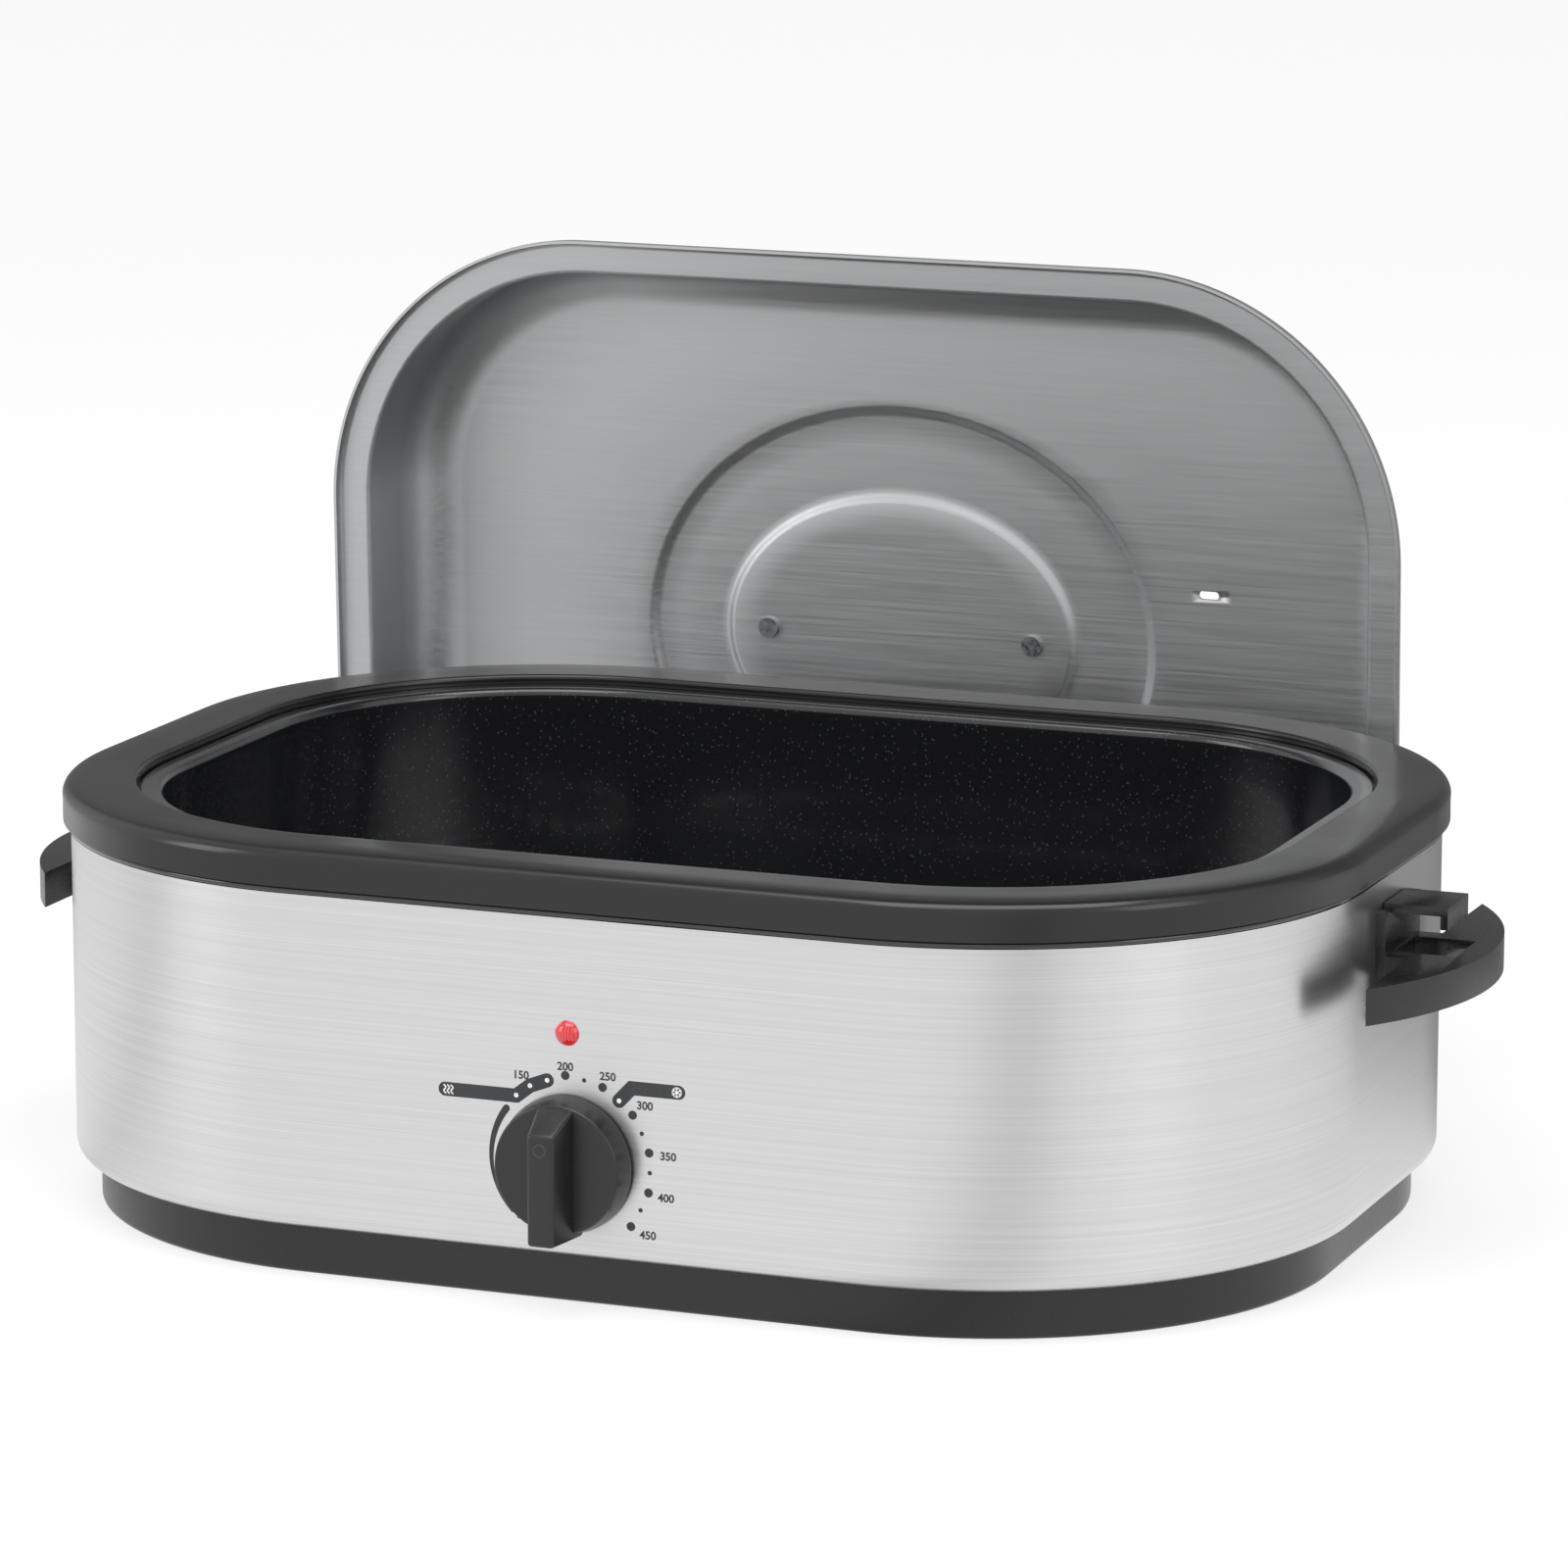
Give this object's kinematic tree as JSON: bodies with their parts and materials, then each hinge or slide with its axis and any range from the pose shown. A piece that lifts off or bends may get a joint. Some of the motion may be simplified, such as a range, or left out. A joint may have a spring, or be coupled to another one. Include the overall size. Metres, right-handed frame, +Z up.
{
  "type": "electric roaster oven",
  "caption": "Countertop electric roaster oven with steel body, black collar and base, front dial, side handles, lift-out pan and rack, and loose domed lid stood up behind it.",
  "frame": {"origin": "middle of the flat underside of the base, on the counter", "axes": "+X to the right along the front, +Y to the rear, +Z up"},
  "size_m": [0.622, 0.5286, 0.3593],
  "materials": {
    "brushed_steel": "horizontally brushed stainless steel",
    "lid_metal": "satin steel sheet",
    "black_enamel": "gloss black enamel on steel",
    "black_trim": "gloss black trim",
    "black_plastic": "satin black phenolic",
    "handle_plastic": "semi-gloss black phenolic",
    "knob_plastic": "satin black phenolic",
    "pan_enamel": "dark grey speckled enamel on steel",
    "chrome_wire": "bright plated wire",
    "zinc_steel": "bright zinc-plated steel",
    "aluminised_sheet": "aluminised steel sheet",
    "mica_band": "mica sheet with resistance ribbon",
    "glass_wool": "glass wool blanket",
    "thermostat_case": "steatite block",
    "lamp_red": "clear red lens",
    "rubber_pad": "moulded rubber"
  },
  "bodies": {
    "housing": {"base_tray": "black_plastic", "base_pads": "rubber_pad", "liner_standoffs": "zinc_steel", "base_screws": "zinc_steel", "heat_shield": "aluminised_sheet", "outer_wrap": "brushed_steel", "collar": "black_enamel", "collar_bead": "black_trim", "liner": "aluminised_sheet", "liner_floor": "aluminised_sheet", "heater_band_lower": "mica_band", "heater_band_upper": "mica_band", "insulation_blanket": "glass_wool", "thermostat_body": "thermostat_case", "thermostat_bracket": "zinc_steel", "thermostat_nut": "zinc_steel", "lamp_lens": "lamp_red", "lamp_housing": "black_plastic", "cord_gland": "black_plastic", "gland_nut": "black_plastic", "right_handle": "handle_plastic", "left_handle": "handle_plastic", "handle_screws": "zinc_steel", "handle_nuts": "zinc_steel"},
    "dial": {"knob": "knob_plastic", "thermostat_shaft": "zinc_steel"},
    "pan": {"roasting_pan": "pan_enamel", "pan_floor": "pan_enamel"},
    "rack": {"rack_frame": "chrome_wire", "rack_wires": "chrome_wire", "rack_lift_loops": "chrome_wire"},
    "lid": {"lid_shell": "lid_metal", "lid_handle": "handle_plastic", "lid_handle_screws": "zinc_steel", "lid_handle_washers": "zinc_steel"}
  },
  "joints": [
    {"name": "dial_turn", "type": "hinge", "parent": "housing", "child": "dial", "pos_m": [0, -0.2, 0.0584], "axis": [0, 1, 0], "range_deg": [-134, 133]},
    {"name": "pan_lift", "type": "slide", "parent": "housing", "child": "pan", "axis": [0, 0, 1], "range_m": [0, 0.15]},
    {"name": "rack_lift", "type": "slide", "parent": "pan", "child": "rack", "axis": [0, 0, 1], "range_m": [0, 0.14]},
    {"name": "lid_lift", "type": "slide", "parent": "housing", "child": "lid", "axis": [0, 0, 1], "range_m": [0, 0.2]}
  ]
}
